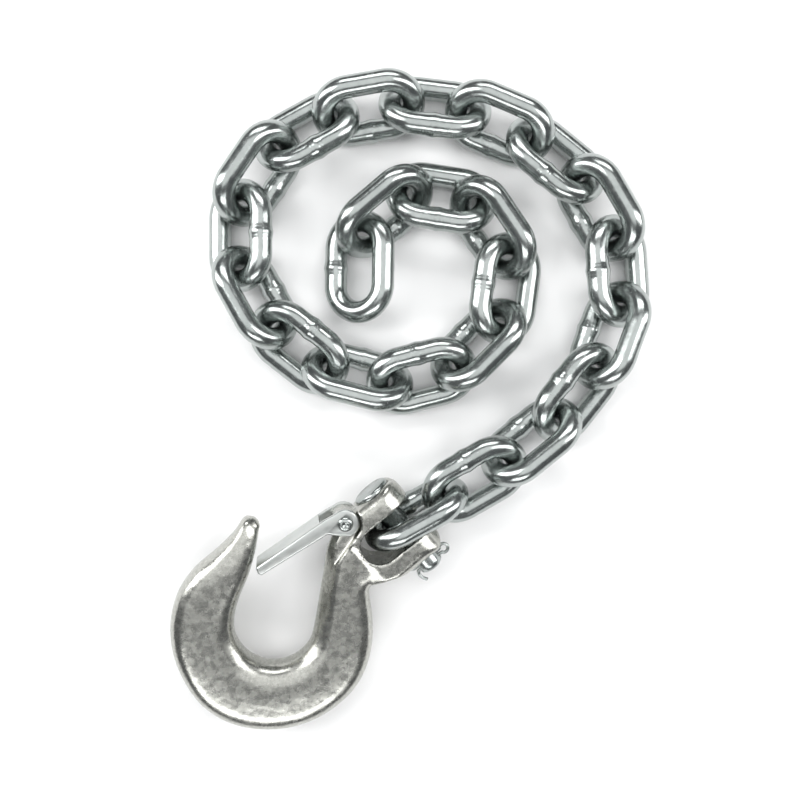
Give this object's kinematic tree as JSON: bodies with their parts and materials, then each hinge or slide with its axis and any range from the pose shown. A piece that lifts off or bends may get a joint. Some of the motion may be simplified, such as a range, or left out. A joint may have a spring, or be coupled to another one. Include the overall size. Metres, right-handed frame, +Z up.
{
  "type": "safety chain hook",
  "caption": "Trailer safety chain: welded steel links in a loose coil, joined by a clevis pin to a forged slip hook with a spring latch.",
  "frame": {"origin": "middle of the foot of the bounding box, with the chain and hook lying on the ground", "axes": "+Z up from the ground, +Y across the coil away from the hook, the hook lies at low X and low Y and its shank points 39 degrees from +X towards +Y"},
  "size_m": [0.2142, 0.2946, 0.033],
  "materials": {
    "zinc_forged": "bright zinc plating over a forged surface",
    "zinc_wire": "bright zinc plating over drawn wire",
    "zinc_sheet": "bright zinc plating over stamped sheet",
    "zinc_turned": "bright zinc plating over turned bar",
    "spring_steel": "plain spring wire"
  },
  "bodies": {
    "hook": {"hook_body": "zinc_forged", "latch_rivet": "zinc_turned", "latch_spring": "spring_steel"},
    "latch": {"latch_plate": "zinc_sheet"},
    "clevis_pin_body": {"clevis_pin": "zinc_turned", "cotter_pin": "zinc_wire"},
    "link_01": {"chain_link_01": "zinc_wire"},
    "link_02": {"chain_link_02": "zinc_wire"},
    "link_03": {"chain_link_03": "zinc_wire"},
    "link_04": {"chain_link_04": "zinc_wire"},
    "link_05": {"chain_link_05": "zinc_wire"},
    "link_06": {"chain_link_06": "zinc_wire"},
    "link_07": {"chain_link_07": "zinc_wire"},
    "link_08": {"chain_link_08": "zinc_wire"},
    "link_09": {"chain_link_09": "zinc_wire"},
    "link_10": {"chain_link_10": "zinc_wire"},
    "link_11": {"chain_link_11": "zinc_wire"},
    "link_12": {"chain_link_12": "zinc_wire"},
    "link_13": {"chain_link_13": "zinc_wire"},
    "link_14": {"chain_link_14": "zinc_wire"},
    "link_15": {"chain_link_15": "zinc_wire"},
    "link_16": {"chain_link_16": "zinc_wire"},
    "link_17": {"chain_link_17": "zinc_wire"},
    "link_18": {"chain_link_18": "zinc_wire"},
    "link_19": {"chain_link_19": "zinc_wire"},
    "link_20": {"chain_link_20": "zinc_wire"},
    "link_21": {"chain_link_21": "zinc_wire"},
    "link_22": {"chain_link_22": "zinc_wire"},
    "link_23": {"chain_link_23": "zinc_wire"},
    "link_24": {"chain_link_24": "zinc_wire"}
  },
  "joints": [
    {"name": "latch_hinge", "type": "hinge", "parent": "hook", "child": "latch", "pos_m": [-0.03085, -0.05233, 0.01984], "axis": [0.1201, -0.1483, 0.9816], "range_deg": [0, 32], "stiffness_Nm_per_rad": 0.02, "springref_deg": -34.38, "deforming": ["latch_spring"]},
    {"name": "clevis_pin_turn", "type": "hinge", "parent": "hook", "child": "clevis_pin_body", "pos_m": [-0.00719, -0.05466, 0.0166], "axis": [-0.6178, 0.7629, 0.1908], "continuous": true},
    {"name": "link_01_swing", "type": "hinge", "parent": "hook", "child": "link_01", "pos_m": [-0.00719, -0.05466, 0.0166], "axis": [0.6178, -0.7629, -0.1908], "range_deg": [-10, 40]},
    {"name": "link_02_swing", "type": "hinge", "parent": "link_01", "child": "link_02", "pos_m": [0.01892, -0.04019, 0.01651], "axis": [-0.1658, 0.2991, -0.9397], "range_deg": [-5, 14]},
    {"name": "link_03_swing", "type": "hinge", "parent": "link_02", "child": "link_03", "pos_m": [0.04503, -0.02501, 0.01585], "axis": [0.4145, -0.718, -0.5592], "range_deg": [-5, 40]},
    {"name": "link_04_swing", "type": "hinge", "parent": "link_03", "child": "link_04", "pos_m": [0.06799, -0.00532, 0.01565], "axis": [-0.3874, 0.4785, -0.788], "range_deg": [-5, 35]},
    {"name": "link_05_swing", "type": "hinge", "parent": "link_04", "child": "link_05", "pos_m": [0.08566, 0.01928, 0.01287], "axis": [0.6037, -0.4716, -0.6428], "range_deg": [-5, 40]},
    {"name": "link_06_swing", "type": "hinge", "parent": "link_05", "child": "link_06", "pos_m": [0.09445, 0.04836, 0.0141], "axis": [-0.6288, 0.2289, -0.7431], "range_deg": [-4, 40]},
    {"name": "link_07_swing", "type": "hinge", "parent": "link_06", "child": "link_07", "pos_m": [0.09009, 0.07857, 0.01185], "axis": [0.827, 0.0578, -0.5592], "range_deg": [-4, 40]},
    {"name": "link_08_swing", "type": "hinge", "parent": "link_07", "child": "link_08", "pos_m": [0.07274, 0.10375, 0.0141], "axis": [-0.5795, -0.3346, -0.7431], "range_deg": [-3, 40]},
    {"name": "link_09_swing", "type": "hinge", "parent": "link_08", "child": "link_09", "pos_m": [0.0479, 0.12134, 0.01185], "axis": [0.5217, 0.6443, -0.5592], "range_deg": [-3, 40]},
    {"name": "link_10_swing", "type": "hinge", "parent": "link_09", "child": "link_10", "pos_m": [0.01941, 0.13179, 0.01381], "axis": [-0.2714, -0.6394, -0.7193], "range_deg": [-3, 40]},
    {"name": "link_11_swing", "type": "hinge", "parent": "link_10", "child": "link_11", "pos_m": [-0.01085, 0.134, 0.0122], "axis": [0.0986, 0.803, -0.5878], "range_deg": [-3, 40]},
    {"name": "link_12_swing", "type": "hinge", "parent": "link_11", "child": "link_12", "pos_m": [-0.04043, 0.12716, 0.0141], "axis": [0.1162, -0.659, -0.7431], "range_deg": [-2, 40]},
    {"name": "link_13_swing", "type": "hinge", "parent": "link_12", "child": "link_13", "pos_m": [-0.06611, 0.11089, 0.01185], "axis": [-0.4019, 0.7251, -0.5592], "range_deg": [-2, 40]},
    {"name": "link_14_swing", "type": "hinge", "parent": "link_13", "child": "link_14", "pos_m": [-0.08107, 0.08419, 0.01438], "axis": [0.5329, -0.3594, -0.766], "range_deg": [-2, 28]},
    {"name": "link_15_swing", "type": "hinge", "parent": "link_14", "child": "link_15", "pos_m": [-0.07792, 0.05352, 0.01185], "axis": [-0.829, 0, -0.5592], "range_deg": [-2, 40]},
    {"name": "link_16_swing", "type": "hinge", "parent": "link_15", "child": "link_16", "pos_m": [-0.06074, 0.02812, 0.0141], "axis": [0.5852, 0.3244, -0.7431], "range_deg": [-3, 40]},
    {"name": "link_17_swing", "type": "hinge", "parent": "link_16", "child": "link_17", "pos_m": [-0.03545, 0.01109, 0.01185], "axis": [-0.5104, -0.6533, -0.5592], "range_deg": [-3, 40]},
    {"name": "link_18_swing", "type": "hinge", "parent": "link_17", "child": "link_18", "pos_m": [-0.00537, 0.0059, 0.0141], "axis": [0.1619, 0.6493, -0.7431], "range_deg": [-3, 40]},
    {"name": "link_19_swing", "type": "hinge", "parent": "link_18", "child": "link_19", "pos_m": [0.02361, 0.01582, 0.01185], "axis": [0.2006, -0.8044, -0.5592], "range_deg": [-3, 18]},
    {"name": "link_20_swing", "type": "hinge", "parent": "link_19", "child": "link_20", "pos_m": [0.0432, 0.0395, 0.0141], "axis": [-0.4731, 0.4731, -0.7431], "range_deg": [-3, 15]},
    {"name": "link_21_swing", "type": "hinge", "parent": "link_20", "child": "link_21", "pos_m": [0.04409, 0.07043, 0.01112], "axis": [0.8576, -0.1205, -0.5], "range_deg": [-3, 17]},
    {"name": "link_22_swing", "type": "hinge", "parent": "link_21", "child": "link_22", "pos_m": [0.02359, 0.0939, 0.01465], "axis": [-0.5104, -0.3443, -0.788], "range_deg": [-2, 28]},
    {"name": "link_23_swing", "type": "hinge", "parent": "link_22", "child": "link_23", "pos_m": [-0.0078, 0.09451, 0.01075], "axis": [0.1381, 0.8721, -0.4695], "range_deg": [-3, 40]},
    {"name": "link_24_swing", "type": "hinge", "parent": "link_23", "child": "link_24", "pos_m": [-0.0288, 0.07104, 0.01491], "axis": [0.3778, -0.4503, -0.809], "range_deg": [-2, 15]}
  ]
}
